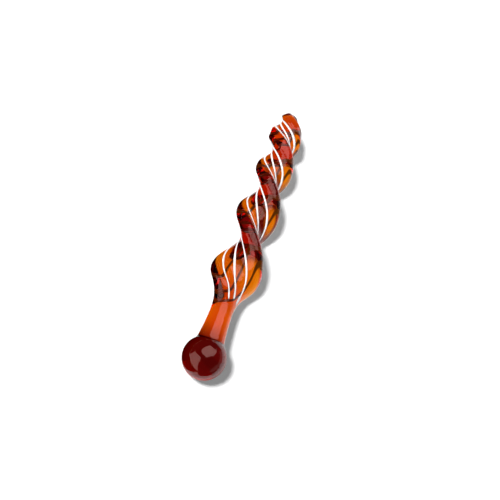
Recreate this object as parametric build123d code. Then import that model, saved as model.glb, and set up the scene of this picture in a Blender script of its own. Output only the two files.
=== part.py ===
from build123d import *
import math
import os

# A solid glass wand, lying on a table. The axis runs along +X, from the ball to the tip.
# Stations along the wand are distances from the ball's centre, in millimetres.

# Driving dimensions
total_length = 180.0
ball_radius = 12.9
neck_end = 27.0  # where the round neck turns into the twisted bar
neck_radius = 6.75
foot_radius = 8.9  # the neck's foot, where it is fused to the ball
neck_flare = ((10.2, 8.45), (11.4, 8.2), (14.4, 7.75), (18.0, 7.36), (22.0, 7.03))

# The twisted bar: a flat-sided bar wound left-handed, tighter and narrower towards the tip
widest_station = 53.6
widest_half_width = 15.4
width_taper = 0.054  # half-width lost per millimetre of length
half_thickness = 7.5
tip_thickening = 1.5
thickening_from = 130.0
thickening_length = 20.0
side_flatness = 0.33
shoulder_length = 15.6  # how gently the neck widens into the bar
shoulder_power = 3.0
shoulder_end = 46.0
flattening_length = 34.0
dome_length = 18.2
tip_bend = 2.3  # how far the hand-drawn tip strays to the side
tip_bend_from = 132.0

# The twist: the first half turn's length, and each later one as a share of the one before
edge_on_station = 30.4
first_half_turn = 46.0
half_turn_ratio = 0.77
rest_roll = 11.0  # the roll, in degrees, at which the wand comes to rest
neck_lead = 36.0  # degrees by which the twist is ahead at the neck, where it fades out
neck_lead_from = 27.2
neck_lead_length = 18.5

# The white threads: three on each flat side, at these angles round the section
thread_angles = (125.0, 96.4, 67.5)
thread_radius = 0.68
thread_sink = 0.3
thread_starts = (34.5, 36.0, 34.3)
thread_end = 162.0
thread_taper = 5.0
thread_end_radius = 0.42
thread_look_ahead = 0.1  # how far ahead a thread's direction is taken

# How finely the twisted surfaces are drawn
twist_step = 15.0
shoulder_step = 1.5
outline_spans = 16
dome_steps = 6

tip_station = total_length - ball_radius
dome_start = tip_station - dome_length
twist_limit = first_half_turn / (1 - half_turn_ratio)  # no twist could pass this far

os.makedirs("parts", exist_ok=True)


def even_steps(start, end, step):
    """Numbers from start to end, both included, at most about a step apart."""
    count = max(1, round((end - start) / step))
    return [start + (end - start) * i / count for i in range(count + 1)]


def smooth(share):
    """A smooth step from 0 to 1."""
    share = min(max(share, 0.0), 1.0)
    return share * share * (3 - 2 * share)


def half_turns_at(station):
    """The half turns made since the section stood edge on."""
    left = 1 - (station - edge_on_station) / twist_limit
    return math.log(left) / math.log(half_turn_ratio)


def station_at(half_turns):
    """The station where the section has made this many half turns."""
    return edge_on_station + twist_limit * (1 - half_turn_ratio**half_turns)


def twist_angle(station):
    """How far the section has turned, in radians."""
    lead = neck_lead * (1 - smooth((station - neck_lead_from) / neck_lead_length))
    return math.radians(180 * half_turns_at(station) - 90 + rest_roll + lead)


def shoulder(station):
    """0 on the round neck, 1 on the full bar."""
    reach = max(station - neck_end, 0.0) / shoulder_length
    return 1 - math.exp(-(reach**shoulder_power))


def dome(station):
    """The share of the full section that is left in the rounded tip."""
    into_dome = min(max((station - dome_start) / dome_length, 0.0), 1.0)
    return math.sqrt(1 - into_dome**2)


def section_size(station):
    """The outline's half-width, half-thickness and flatness at one station."""
    share = shoulder(station)
    flattened = smooth((station - neck_end) / flattening_length)
    full_width = widest_half_width - width_taper * (station - widest_station)
    thicker = tip_thickening * smooth((station - thickening_from) / thickening_length)
    half_width = neck_radius + (full_width - neck_radius) * share
    half_depth = neck_radius + (half_thickness + thicker - neck_radius) * flattened
    left = dome(station)
    return half_width * left, half_depth * left, side_flatness * flattened


def axis_point(station):
    """The wand's axis, which strays sideways near the tip, level with the table."""
    share = max(station - tip_bend_from, 0.0) / (tip_station - tip_bend_from)
    return Vector(station, tip_bend * share**2, 0)


def turned(station, u, v):
    """A point or a direction across the axis, turned by the twist at one station."""
    turn = twist_angle(station)
    across = u * math.cos(turn) - v * math.sin(turn)
    up = u * math.sin(turn) + v * math.cos(turn)
    return Vector(0, -across, up)


def outline_rate(station, angle):
    """How fast (u, v) moves round the outline, before the twist."""
    half_width, half_depth, flat = section_size(station)
    swell = 1 + flat * math.cos(2 * angle)
    swell_rate = -2 * flat * math.sin(2 * angle)
    du = -half_width * math.sin(angle)
    dv = half_depth * (math.cos(angle) * swell + math.sin(angle) * swell_rate)
    return du, dv


def section_point(station, angle, inset=0.0):
    """A point on the bar's outline, or inset below it."""
    half_width, half_depth, flat = section_size(station)
    du, dv = outline_rate(station, angle)
    pace = math.hypot(du, dv)
    swell = 1 + flat * math.cos(2 * angle)
    u = half_width * math.cos(angle) - inset * dv / pace
    v = half_depth * math.sin(angle) * swell + inset * du / pace
    return axis_point(station) + turned(station, u, v)


def half_outline(station, start):
    """Half of the bar's outline, from the middle of one flat side round to the other."""
    shares = even_steps(0, 1, 1 / outline_spans)
    points = [section_point(station, start + math.pi * share) for share in shares]
    return Edge.make_spline(points, parameters=shares)


def section_wire(station):
    """The bar's closed outline at one station."""
    return Wire([half_outline(station, math.pi / 2), half_outline(station, -math.pi / 2)])


def twist_stations(start, end):
    """Stations from start to end, an equal part of a turn apart."""
    turns = even_steps(half_turns_at(start), half_turns_at(end), twist_step / 180)
    return [station_at(turn) for turn in turns]


def make_ball():
    return Solid.make_sphere(ball_radius, Plane.XY)


def seat_point(radius):
    """The point of the ball's outline that is this far from the axis, on the neck's side."""
    return (math.sqrt(ball_radius**2 - radius**2), radius)


def make_neck():
    """A flared stem, hollowed at its foot to sit on the ball."""
    profile = Spline(seat_point(foot_radius), *neck_flare, (neck_end, neck_radius))
    outline = [
        profile,
        Line((neck_end, neck_radius), (neck_end, 0)),
        Line((neck_end, 0), (ball_radius, 0)),
        ThreePointArc((ball_radius, 0), seat_point(foot_radius / 2), seat_point(foot_radius)),
    ]
    return revolve(make_face(outline), Axis.X).solid()


def make_bar():
    shoulder_stations = even_steps(neck_end, shoulder_end, shoulder_step)
    body = shoulder_stations + twist_stations(shoulder_end, dome_start)[1:]
    return Solid.make_loft([section_wire(s) for s in body])


def make_tip():
    angles = [math.pi / 2 * i / dome_steps for i in range(dome_steps)]
    outlines = [section_wire(dome_start + dome_length * math.sin(t)) for t in angles]
    return Solid.make_loft(outlines + [Vertex(*axis_point(tip_station))])


def make_thread(angle, start):
    """A white thread laid along one flat side, half sunk in the glass."""
    wires = []
    for s in twist_stations(start, thread_end):
        centre = section_point(s, angle, thread_sink)
        ahead = section_point(s + thread_look_ahead, angle, thread_sink)
        from_end = min(s - start, thread_end - s)
        share = smooth(from_end / thread_taper)
        radius = thread_end_radius + (thread_radius - thread_end_radius) * share
        wires.append(Wire([Edge.make_circle(radius, Plane(centre, z_dir=ahead - centre))]))
    return Solid.make_loft(wires)


def all_threads():
    """Three threads on each flat side, the second side half a turn round."""
    threads = {}
    for side, half_turn in (("a", 0.0), ("b", 180.0)):
        for number, (angle, start) in enumerate(zip(thread_angles, thread_starts), start=1):
            threads[f"thread_{side}{number}"] = make_thread(math.radians(angle + half_turn), start)
    return threads


threads = all_threads()
nodes = {
    "ball_end": make_ball(),
    "neck": make_neck(),
    "twisted_bar": make_bar().cut(*threads.values()),
    "tip": make_tip().cut(*threads.values()),
    **threads,
}

# The frame: the origin is under the middle of the wand, on the table that it lies on
box = Compound(children=[Compound([solid]) for solid in nodes.values()]).bounding_box()
to_frame = Location((-box.center().X, -box.center().Y, -box.min.Z))
for name, solid in nodes.items():
    export_step(solid.moved(to_frame), f"parts/{name}.step")
    print(name, "volume", round(solid.volume), "valid", solid.is_valid)
print("box", box.size, "ball centre", to_frame.position)
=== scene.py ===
import math

import bpy
import numpy as np
from mathutils import Matrix, Vector


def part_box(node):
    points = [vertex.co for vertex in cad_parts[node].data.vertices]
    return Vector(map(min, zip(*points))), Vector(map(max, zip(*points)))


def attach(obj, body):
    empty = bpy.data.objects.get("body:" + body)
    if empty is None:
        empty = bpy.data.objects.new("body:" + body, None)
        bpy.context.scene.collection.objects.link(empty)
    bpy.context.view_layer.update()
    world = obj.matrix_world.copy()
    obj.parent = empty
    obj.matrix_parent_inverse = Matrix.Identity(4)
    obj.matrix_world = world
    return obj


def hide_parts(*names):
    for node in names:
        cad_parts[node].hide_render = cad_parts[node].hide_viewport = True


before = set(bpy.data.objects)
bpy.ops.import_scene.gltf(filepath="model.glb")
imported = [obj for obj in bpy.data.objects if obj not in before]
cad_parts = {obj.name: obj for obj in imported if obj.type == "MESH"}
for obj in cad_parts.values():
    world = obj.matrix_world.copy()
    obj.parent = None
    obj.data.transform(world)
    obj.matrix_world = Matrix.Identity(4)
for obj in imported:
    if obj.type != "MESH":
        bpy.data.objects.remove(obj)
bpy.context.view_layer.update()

MM = 0.001
WHITE = (1.0, 1.0, 1.0)
GLASS_IOR = 1.5

# ---------------------------------------------------------------- the wand's shape, in mm
# Stations run along the wand's axis, from the ball's centre towards the tip.
TOTAL_LENGTH = 180.0
BALL_RADIUS = 12.9
NECK_END = 27.0
NECK_RADIUS = 6.75
WIDEST_STATION = 53.6
WIDEST_HALF_WIDTH = 15.4
WIDTH_TAPER = 0.054  # half-width lost per mm of length
HALF_THICKNESS = 7.5
TIP_THICKENING = 1.5
THICKENING_FROM = 130.0
THICKENING_LENGTH = 20.0
SIDE_FLATNESS = 0.33
SHOULDER_LENGTH = 15.6
SHOULDER_POWER = 3.0
FLATTENING_LENGTH = 34.0
DOME_LENGTH = 18.2
TIP_BEND = 2.3  # how far the hand-drawn tip strays to the side
TIP_BEND_FROM = 132.0
EDGE_ON_STATION = 30.4
FIRST_HALF_TURN = 46.0
HALF_TURN_RATIO = 0.77  # each later half turn's length, as a share of the one before
REST_ROLL = 11.0  # the modelled roll on the table, in degrees; left alone, it rolls further
NECK_LEAD = 36.0  # degrees by which the twist is ahead at the neck, where it fades out
NECK_LEAD_FROM = 27.2
NECK_LEAD_LENGTH = 18.5

TIP_STATION = TOTAL_LENGTH - BALL_RADIUS
DOME_START = TIP_STATION - DOME_LENGTH
TWIST_LIMIT = FIRST_HALF_TURN / (1 - HALF_TURN_RATIO)
LEAST_PACE = 1e-9  # keeps the outline's direction defined where the tip closes

# The ball's centre in the frame, in metres
ball_low, ball_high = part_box("ball_end")
BALL_CENTRE = (Vector(ball_low) + Vector(ball_high)) / 2


def smooth(share):
    """A smooth step from 0 to 1."""
    share = np.clip(share, 0.0, 1.0)
    return share * share * (3 - 2 * share)


def twist_angle(station):
    """How far the section has turned, in radians."""
    left = 1 - (station - EDGE_ON_STATION) / TWIST_LIMIT
    half_turns = np.log(left) / math.log(HALF_TURN_RATIO)
    lead = NECK_LEAD * (1 - smooth((station - NECK_LEAD_FROM) / NECK_LEAD_LENGTH))
    return np.radians(180 * half_turns - 90 + REST_ROLL + lead)


def section_size(station):
    """The bar's half-width, half-thickness and flatness."""
    reach = np.maximum(station - NECK_END, 0.0) / SHOULDER_LENGTH
    share = 1 - np.exp(-(reach**SHOULDER_POWER))
    flattened = smooth((station - NECK_END) / FLATTENING_LENGTH)
    full_width = WIDEST_HALF_WIDTH - WIDTH_TAPER * (station - WIDEST_STATION)
    thicker = TIP_THICKENING * smooth((station - THICKENING_FROM) / THICKENING_LENGTH)
    half_width = NECK_RADIUS + (full_width - NECK_RADIUS) * share
    half_depth = NECK_RADIUS + (HALF_THICKNESS + thicker - NECK_RADIUS) * flattened
    left = np.sqrt(1 - np.clip((station - DOME_START) / DOME_LENGTH, 0, 1) ** 2)
    return half_width * left, half_depth * left, SIDE_FLATNESS * flattened


def tip_stray(station):
    """How far the axis has strayed sideways, level with the table."""
    share = np.maximum(station - TIP_BEND_FROM, 0.0) / (TIP_STATION - TIP_BEND_FROM)
    return TIP_BEND * share**2


def outline(station, angle, inset=0.0):
    """Points (n, 3) of the twisted outline in mm about the axis, or inset below it."""
    half_width, half_depth, flat = section_size(station)
    swell = 1 + flat * np.cos(2 * angle)
    swell_rate = -2 * flat * np.sin(2 * angle)
    du = -half_width * np.sin(angle)
    dv = half_depth * (np.cos(angle) * swell + np.sin(angle) * swell_rate)
    pace = np.maximum(np.hypot(du, dv), LEAST_PACE)
    u = half_width * np.cos(angle) - inset * dv / pace
    v = half_depth * np.sin(angle) * swell + inset * du / pace
    turn = twist_angle(station)
    across = u * np.cos(turn) - v * np.sin(turn)
    up = u * np.sin(turn) + v * np.cos(turn)
    return np.stack([station + 0 * across, tip_stray(station) - across, up], axis=-1)


def to_frame(points):
    """mm about the ball's centre to metres in the frame."""
    return np.asarray(points) * MM + np.array(BALL_CENTRE)


# ---------------------------------------------------------------- mesh helpers
def tube_faces(rings, around):
    """Quads between rings of points, then a fan to a pole at each end."""
    faces = []
    for r in range(rings - 1):
        for k in range(around):
            n = (k + 1) % around
            a, b = r * around + k, r * around + n
            faces.append((a, a + around, b + around, b))
    first, last = rings * around, rings * around + 1
    end = (rings - 1) * around
    for k in range(around):
        n = (k + 1) % around
        faces.append((first, k, n))
        faces.append((last, end + n, end + k))
    return faces


def closed_tube(name, rings, first_pole, last_pole):
    """A closed smooth mesh from rings of points in mm, with a pole at each end."""
    around = len(rings[0])
    points = np.concatenate([*rings, [first_pole], [last_pole]])
    mesh = bpy.data.meshes.new(name)
    mesh.from_pydata(to_frame(points).tolist(), [], tube_faces(len(rings), around))
    mesh.polygons.foreach_set("use_smooth", [True] * len(mesh.polygons))
    mesh.update()
    piece = bpy.data.objects.new(name, mesh)
    bpy.context.scene.collection.objects.link(piece)
    return piece


# ---------------------------------------------------------------- the amber glass
AROUND = 192
BODY_STEP = 0.5
BALL_RINGS = 72
DOME_RINGS = 30

# The neck's outline: stations and radii from its foot on the ball to the twisted bar
NECK_OUTLINE = (
    (9.34, 8.9),
    (10.2, 8.45),
    (11.4, 8.2),
    (14.4, 7.75),
    (18.0, 7.36),
    (22.0, 7.03),
    (NECK_END, NECK_RADIUS),
)


def neck_radius(station):
    """The radius on a smooth curve through the neck's outline."""
    s, r = np.array(NECK_OUTLINE).T
    slopes = np.gradient(r, s)
    i = np.clip(np.searchsorted(s, station) - 1, 0, len(s) - 2)
    h = s[i + 1] - s[i]
    t = (station - s[i]) / h
    start = (1 + 2 * t) * (1 - t) ** 2 * r[i] + t * (1 - t) ** 2 * h * slopes[i]
    end = t * t * (3 - 2 * t) * r[i + 1] + t * t * (t - 1) * h * slopes[i + 1]
    return start + end


def round_ring(station, radius, angles):
    """A round ring of points, turned to meet the twisted bar's first section."""
    turned = angles + twist_angle(NECK_END)
    across, up = radius * np.cos(turned), radius * np.sin(turned)
    return np.stack([np.full(AROUND, station), -across, up], axis=-1)


def make_amber_glass():
    """Ball, neck, twisted bar and tip, fused into one closed skin as the real glass is."""
    angles = np.linspace(0, 2 * math.pi, AROUND, endpoint=False)
    foot_station, foot_radius = NECK_OUTLINE[0]
    seat = math.atan2(foot_radius, foot_station)
    rings = []
    for polar in np.linspace(math.pi, seat, BALL_RINGS + 1)[1:-1]:
        station, radius = BALL_RADIUS * math.cos(polar), BALL_RADIUS * math.sin(polar)
        rings.append(round_ring(station, radius, angles))
    for station in np.arange(foot_station, NECK_END, BODY_STEP):
        rings.append(round_ring(station, float(neck_radius(station)), angles))
    for station in np.arange(NECK_END, DOME_START, BODY_STEP):
        rings.append(outline(station, angles))
    for slope in np.linspace(0, math.pi / 2, DOME_RINGS + 1)[:-1]:
        rings.append(outline(DOME_START + DOME_LENGTH * math.sin(slope), angles))
    return closed_tube("amber_glass", rings, (-BALL_RADIUS, 0, 0), (TIP_STATION, TIP_BEND, 0))


# ---------------------------------------------------------------- the white threads
# Three on each flat side: angle round the section, start, widths at the neck and at the tip, and
# how much wider the thread starts, where the molten glass was pulled on
THREADS = (
    (125.0, 34.5, (1.1, 1.15), 1.0),
    (96.4, 36.0, (1.5, 1.25), 1.1),
    (67.5, 34.3, (1.1, 1.5), 2.0),
)
THREAD_SINK = 0.3
THREAD_END = 162.0
THREAD_STEP = 0.8
THREAD_AROUND = 24
THREAD_HALF_DEPTH = 0.5
START_TAPER = 3.0
END_TAPER = 6.0
THREAD_POINT = 0.12  # the share of the full width left at the ends
THREAD_CAP = 0.1
SMEAR_END = 41.0
SMEAR_FADE = 1.5
# The hand-pulled width rises and falls: by which share, over which length, in which phase
WIDTH_WAVES = ((0.1, 3.1, 1), (0.06, 1.3, 3))


def make_thread(name, angle_degrees, start, end, widths, smear):
    """A tapering white thread along one flat side, flattened and half sunk in the glass."""
    angle = math.radians(angle_degrees)
    stations = np.arange(start, end + THREAD_STEP / 2, THREAD_STEP)
    path = outline(stations, np.full(len(stations), angle), THREAD_SINK)
    outward = outline(stations, np.full(len(stations), angle)) - path
    along = np.gradient(path, axis=0)
    along /= np.linalg.norm(along, axis=1, keepdims=True)
    outward -= along * np.sum(outward * along, axis=1, keepdims=True)
    outward /= np.linalg.norm(outward, axis=1, keepdims=True)
    sideways = np.cross(along, outward)
    from_end = np.minimum((stations - start) / START_TAPER, (end - stations) / END_TAPER)
    share = THREAD_POINT + (1 - THREAD_POINT) * np.sqrt(smooth(from_end))
    uneven = 1
    for height, length, phase in WIDTH_WAVES:
        uneven = uneven + height * np.sin(stations / length + phase * angle)
    smeared = 1 + (smear - 1) * (1 - smooth((stations - SMEAR_END) / SMEAR_FADE + 0.5))
    half_width = np.linspace(*widths, len(stations)) / 2 * share * uneven * smeared
    half_depth = THREAD_HALF_DEPTH * share
    turns = np.linspace(0, 2 * math.pi, THREAD_AROUND, endpoint=False)
    rings = [
        path[i]
        + half_width[i] * np.outer(np.cos(turns), sideways[i])
        + half_depth[i] * np.outer(np.sin(turns), outward[i])
        for i in range(len(stations))
    ]
    first_pole, last_pole = path[0] - THREAD_CAP * along[0], path[-1] + THREAD_CAP * along[-1]
    return closed_tube(name, rings, first_pole, last_pole)


# ---------------------------------------------------------------- materials
AMBER_DENSITY = 800.0
AMBER_COLOUR = (0.956, 0.75, 0.0)
THREAD_PAINTED_GLOW = 0.08  # a painted glow that whitens the threads, standing in for light that scatters inside the opal glass
FLOOR_GLOW = 0.22
TABLE_GLOW = 1.05
PAINTED_SHADOW_CORE = 0.3  # the share of a painted amber shadow's reach that has its deepest colour
# Painted amber shadows on the light table, standing in for the wand's own tinted shadow: offset
# from the ball's foot, reach both ways, deepest colour
BALL_PAINTED_SHADOW = ((0.0, -0.011), (0.027, 0.0245), (0.17, 0.03, 0.014))
BAR_PAINTED_SHADOW = ((0.098, -0.003), (0.052, 0.0065), (0.15, 0.02, 0.01))


def new_material(name):
    mat = bpy.data.materials.new(name)
    mat.use_nodes = True
    return mat, mat.node_tree.nodes, mat.node_tree.links


def set_inputs(node, **values):
    """Sets a node's inputs, which are named with underscores for spaces."""
    for key, value in values.items():
        node.inputs[key.replace("_", " ")].default_value = value
    return node


def add(nodes, kind, **values):
    return set_inputs(nodes.new(kind), **values)


def add_ramp(nodes, low, high):
    """A colour ramp between two stops, each a position and a colour."""
    ramp = nodes.new("ShaderNodeValToRGB")
    for element, (position, colour) in zip(ramp.color_ramp.elements, (low, high)):
        element.position = position
        element.color = (*colour, 1)
    return ramp


def amber_glass_material():
    mat, nodes, links = new_material("amber_glass")
    shader = nodes["Principled BSDF"]
    set_inputs(shader, Transmission_Weight=1.0, IOR=GLASS_IOR, Roughness=0.0)
    place = nodes.new("ShaderNodeTexCoord")
    # Faint cords of denser glass, drawn out along the wand
    stretch = add(nodes, "ShaderNodeMapping", Scale=(0.25, 1.0, 1.0))
    links.new(place.outputs["Object"], stretch.inputs["Vector"])
    cords = add(nodes, "ShaderNodeTexNoise", Scale=170.0, Detail=3.0, Roughness=0.5)
    links.new(stretch.outputs["Vector"], cords.inputs["Vector"])
    tint = add_ramp(nodes, (0.35, (1.0, 0.94, 0.86)), (0.65, WHITE))
    links.new(cords.outputs["Fac"], tint.inputs["Fac"])
    links.new(tint.outputs["Color"], shader.inputs["Base Color"])
    # The slight unevenness of hand-worked glass
    waves = add(nodes, "ShaderNodeTexNoise", Scale=90.0, Detail=1.0)
    links.new(place.outputs["Object"], waves.inputs["Vector"])
    bump = add(nodes, "ShaderNodeBump", Strength=0.05, Distance=0.0006)
    links.new(waves.outputs["Fac"], bump.inputs["Height"])
    links.new(bump.outputs["Normal"], shader.inputs["Normal"])
    # The amber colour: thick glass goes dark red, and thin glass stays orange
    absorb = add(nodes, "ShaderNodeVolumeAbsorption", Density=AMBER_DENSITY)
    set_inputs(absorb, Color=(*AMBER_COLOUR, 1))
    links.new(absorb.outputs["Volume"], nodes["Material Output"].inputs["Volume"])
    return mat


def white_thread_material():
    mat, nodes, links = new_material("white_thread")
    shader = nodes["Principled BSDF"]
    set_inputs(shader, Roughness=0.22, IOR=GLASS_IOR)
    # A painted glow whitens the threads
    set_inputs(shader, Emission_Color=(*WHITE, 1), Emission_Strength=THREAD_PAINTED_GLOW)
    place = nodes.new("ShaderNodeTexCoord")
    streaks = add(nodes, "ShaderNodeTexNoise", Scale=900.0, Detail=3.0)
    links.new(place.outputs["Object"], streaks.inputs["Vector"])
    tint = add_ramp(nodes, (0.3, (0.86, 0.84, 0.88)), (0.6, (0.97, 0.96, 0.97)))
    links.new(streaks.outputs["Fac"], tint.inputs["Fac"])
    links.new(tint.outputs["Color"], shader.inputs["Base Color"])
    return mat


def floor_material():
    mat, nodes, _ = new_material("pale_floor")
    shader = nodes["Principled BSDF"]
    set_inputs(shader, Base_Color=(0.9, 0.9, 0.9, 1), Roughness=1.0, Specular_IOR_Level=0.0)
    set_inputs(shader, Emission_Color=(*WHITE, 1), Emission_Strength=FLOOR_GLOW)
    return mat


def painted_shadow_colour(nodes, links, place, offset, reach, deep):
    """A painted shadow's colour: deep at the middle of a level oval beside the ball's foot, and
    clear outside it.
    """
    middle = (BALL_CENTRE.x + offset[0], BALL_CENTRE.y + offset[1], 0)
    squeeze = nodes.new("ShaderNodeMapping")
    squeeze.vector_type = "TEXTURE"
    set_inputs(squeeze, Location=middle, Scale=(*reach, 1.0))
    links.new(place.outputs["Object"], squeeze.inputs["Vector"])
    distance = nodes.new("ShaderNodeVectorMath")
    distance.operation = "LENGTH"
    links.new(squeeze.outputs["Vector"], distance.inputs[0])
    ramp = add_ramp(nodes, (PAINTED_SHADOW_CORE, deep), (1.0, WHITE))
    ramp.color_ramp.interpolation = "EASE"
    links.new(distance.outputs["Value"], ramp.inputs["Fac"])
    return ramp.outputs["Color"]


def table_material():
    """The light table that the glass sees, with painted amber shadows that stand in for the ones
    the wand throws on it.
    """
    mat, nodes, links = new_material("light_table")
    nodes.remove(nodes["Principled BSDF"])
    glow = add(nodes, "ShaderNodeEmission", Strength=TABLE_GLOW)
    place = nodes.new("ShaderNodeTexCoord")
    both = nodes.new("ShaderNodeVectorMath")
    both.operation = "MULTIPLY"
    # The two painted amber shadows darken the table's glow together
    for socket, shade in zip(both.inputs, (BALL_PAINTED_SHADOW, BAR_PAINTED_SHADOW)):
        links.new(painted_shadow_colour(nodes, links, place, *shade), socket)
    links.new(both.outputs["Vector"], glow.inputs["Color"])
    links.new(glow.outputs["Emission"], nodes["Material Output"].inputs["Surface"])
    return mat


def plain_glow(name, strength, colour=WHITE):
    mat, nodes, links = new_material(name)
    nodes.remove(nodes["Principled BSDF"])
    glow = add(nodes, "ShaderNodeEmission", Strength=strength, Color=(*colour, 1))
    links.new(glow.outputs["Emission"], nodes["Material Output"].inputs["Surface"])
    return mat


# ---------------------------------------------------------------- build the wand
amber = make_amber_glass()
amber.data.materials.append(amber_glass_material())
amber.visible_diffuse = False  # the pale floor isn't tinted by it
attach(amber, "root")
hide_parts("ball_end", "neck", "twisted_bar", "tip")

white = white_thread_material()
for side, half_turn in (("a", 0.0), ("b", 180.0)):
    for number, (angle, start, widths, smear) in enumerate(THREADS, start=1):
        node = f"thread_{side}{number}"
        thread = make_thread(f"white_{node}", angle + half_turn, start, THREAD_END, widths, smear)
        thread.data.materials.append(white)
        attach(thread, "root")
        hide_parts(node)

# ---------------------------------------------------------------- the camera
LEAN = math.radians(20.5)  # the wand's lean from upright in the view
TILT = math.radians(22.0)  # how far the tip leans away from the camera
VIEW_DISTANCE = 0.542
AIM_STATION = 83.1
LENS = 64.8
SENSOR_WIDTH = 36.0
SHIFT_X, SHIFT_Y = -0.0034, -0.039

roll = math.radians(REST_ROLL)
axis = Vector((1, 0, 0))
facing = Vector((0, math.sin(roll), math.cos(roll)))
across = Vector((0, -math.cos(roll), math.sin(roll)))
along_view = math.cos(TILT) * axis + math.sin(TILT) * facing
to_camera = -math.sin(TILT) * axis + math.cos(TILT) * facing
view_right = math.sin(LEAN) * along_view + math.cos(LEAN) * across
view_up = math.cos(LEAN) * along_view - math.sin(LEAN) * across
aim = BALL_CENTRE + axis * AIM_STATION * MM


def view_vector(right, up, near):
    """A direction given in the camera's own right, up and near."""
    return (view_right * right + view_up * up + to_camera * near).normalized()


def make_camera():
    data = bpy.data.cameras.new("camera")
    data.lens = LENS
    data.sensor_width = SENSOR_WIDTH
    data.shift_x = SHIFT_X
    data.shift_y = SHIFT_Y
    camera = bpy.data.objects.new("camera", data)
    turn = Matrix((view_right, view_up, to_camera)).transposed().to_4x4()
    camera.matrix_world = Matrix.Translation(aim + to_camera * VIEW_DISTANCE) @ turn
    bpy.context.scene.collection.objects.link(camera)
    bpy.context.scene.camera = camera


# ---------------------------------------------------------------- floor and cards, in metres
FLOOR_REACH = 3.0
TABLE_MARGIN = 0.055  # how far the light table reaches past the ball's middle
TABLE_LEVEL = -0.0002
BLACK_LEVEL = -0.0001
BLACK_X = (-0.6, 0.6)
BLACK_Y = (0.013, 0.8)


def stage_mesh(name, points, faces, material):
    mesh = bpy.data.meshes.new(name)
    mesh.from_pydata([tuple(point) for point in points], [], faces)
    mesh.materials.append(material)
    piece = bpy.data.objects.new(name, mesh)
    bpy.context.scene.collection.objects.link(piece)
    return piece


def level_card(name, x_range, y_range, level, material):
    """A level rectangle that faces up."""
    (x0, x1), (y0, y1) = x_range, y_range
    corners = [(x0, y0, level), (x1, y0, level), (x1, y1, level), (x0, y1, level)]
    return stage_mesh(name, corners, [(0, 1, 2, 3)], material)


def only_in_glass(piece):
    """The piece lights nothing and isn't seen, except in or through the glass."""
    piece.visible_camera = False
    piece.visible_diffuse = False
    piece.visible_shadow = False


def make_floor():
    """A pale floor for the camera, and under it a light table and a black card for the glass."""
    whole = (-FLOOR_REACH, FLOOR_REACH)
    floor = level_card("floor", whole, whole, 0, floor_material())
    floor.visible_glossy = False
    floor.visible_transmission = False
    floor.visible_shadow = False
    table_x = (BALL_CENTRE.x - TABLE_MARGIN, FLOOR_REACH)
    only_in_glass(level_card("light_table", table_x, whole, TABLE_LEVEL, table_material()))
    black = plain_glow("black", 0)
    only_in_glass(level_card("black_card", BLACK_X, BLACK_Y, BLACK_LEVEL, black))


# ---------------------------------------------------------------- windows
# Where each window's corners show on the ball: right and up from its middle, in radii
RIGHT_WINDOW = (
    (0.28, 0.60),
    (0.0, 0.50),
    (-0.146, 0.326),
    (0.11, 0.08),
    (0.486, 0.13),
    (0.59, 0.326),
)
LEFT_WINDOW = (
    (-0.377, 0.326),
    (-0.10, 0.055),
    (-0.244, -0.27),
    (-0.244, -0.66),
    (-0.49, -0.555),
    (-0.53, -0.25),
    (-0.76, 0.077),
)
RIGHT_WINDOW_GLOW = 3.2
LEFT_WINDOW_GLOW = 2.7
WINDOW_TINT = (1.0, 0.54, 0.48)
WINDOW_DISTANCE = 0.7
WINDOW_RINGS = 6
WINDOW_EDGE_POINTS = 6


def mirrored(right, up):
    """The direction that the ball's surface shows to the camera at one spot."""
    near = math.sqrt(1 - right * right - up * up)
    return view_vector(2 * near * right, 2 * near * up, 2 * near * near - 1)


def make_window(name, corners, brightness):
    """A large window, bent round the wand so that the ball shows these corners."""
    corners = np.array(corners)
    middle = corners.mean(axis=0)
    shares = np.arange(WINDOW_EDGE_POINTS) / WINDOW_EDGE_POINTS
    edges = zip(corners, np.roll(corners, -1, axis=0))
    rim = [a + (b - a) * t for a, b in edges for t in shares]
    sizes = [r / WINDOW_RINGS for r in range(1, WINDOW_RINGS + 1)]
    spots = [middle + (p - middle) * size for size in sizes for p in rim]
    points = [BALL_CENTRE + mirrored(*spot) * WINDOW_DISTANCE for spot in [*spots, middle]]
    around = len(rim)
    faces = []
    for k in range(around):
        n = (k + 1) % around
        faces.append((len(spots), k, n))
        for r in range(WINDOW_RINGS - 1):
            near, far = r * around, (r + 1) * around
            faces.append((near + k, far + k, far + n, near + n))
    only_in_glass(stage_mesh(name, points, faces, plain_glow(name, brightness, WINDOW_TINT)))


# ---------------------------------------------------------------- walls
WALL_STEPS = 48
LOW_WALL_ANGLES = (-140, -50)
LOW_WALL_DISTANCE = 0.8
LOW_WALL_HEIGHT = 0.3
LOW_WALL_GLOW = 0.5
LOW_WALL_TINT = (1.0, 0.55, 0.5)
BACKDROP_DISTANCE = 2.9
BACKDROP_HEIGHT = 6.0
BACKDROP_GLOW = 1.0


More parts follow.
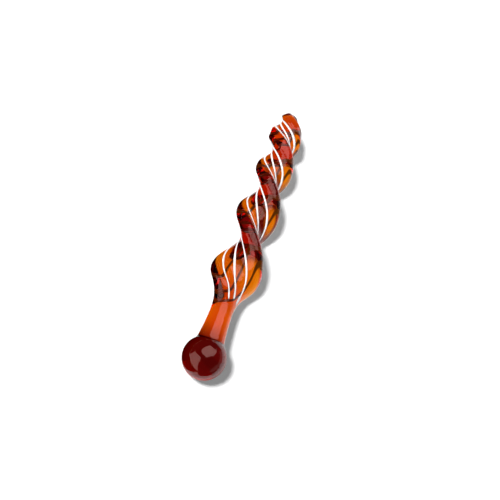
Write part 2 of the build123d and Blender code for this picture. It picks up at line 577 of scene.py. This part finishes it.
def make_round_wall(name, angles, distance, height, material):
    """A wall round the wand's middle, from one angle to another in degrees."""
    spots = []
    for degrees in np.linspace(*angles, WALL_STEPS + 1):
        angle = math.radians(degrees)
        x, y = distance * math.cos(angle), distance * math.sin(angle)
        spots += [(x, y, 0), (x, y, height)]
    faces = [(2 * i, 2 * i + 2, 2 * i + 3, 2 * i + 1) for i in range(WALL_STEPS)]
    return stage_mesh(name, spots, faces, material)


def make_low_wall():
    """A low pale wall that only the glass sees."""
    glow = plain_glow("low_wall", LOW_WALL_GLOW, LOW_WALL_TINT)
    wall = make_round_wall("low_wall", LOW_WALL_ANGLES, LOW_WALL_DISTANCE, LOW_WALL_HEIGHT, glow)
    only_in_glass(wall)


def make_backdrop():
    """A white backdrop that only the camera sees."""
    glow = plain_glow("backdrop", BACKDROP_GLOW)
    wall = make_round_wall("backdrop", (0, 360), BACKDROP_DISTANCE, BACKDROP_HEIGHT, glow)
    wall.visible_diffuse = False
    wall.visible_glossy = False
    wall.visible_transmission = False
    wall.visible_shadow = False


# ---------------------------------------------------------------- light
KEY_FROM = (-0.2, 0.44, 1.05)  # in the camera's own right, up and near
KEY_STRENGTH = 4.2
KEY_SPREAD = 11.0  # degrees, for the shadow's soft edge
WORLD_GLOW = 0.03


def make_key():
    data = bpy.data.lights.new("key", "SUN")
    data.energy = KEY_STRENGTH
    data.angle = math.radians(KEY_SPREAD)
    light = bpy.data.objects.new("key", data)
    light.rotation_mode = "QUATERNION"
    light.rotation_quaternion = view_vector(*KEY_FROM).to_track_quat("Z", "Y")
    light.visible_glossy = False
    light.visible_transmission = False
    bpy.context.scene.collection.objects.link(light)


def make_world():
    world = bpy.data.worlds.new("studio")
    world.use_nodes = True
    back = world.node_tree.nodes["Background"]
    set_inputs(back, Color=(*WHITE, 1), Strength=WORLD_GLOW)
    bpy.context.scene.world = world


make_floor()
make_camera()
make_world()
make_window("right_window", RIGHT_WINDOW, RIGHT_WINDOW_GLOW)
make_window("left_window", LEFT_WINDOW, LEFT_WINDOW_GLOW)
make_low_wall()
make_backdrop()
make_key()
bpy.context.scene.view_settings.view_transform = "Standard"
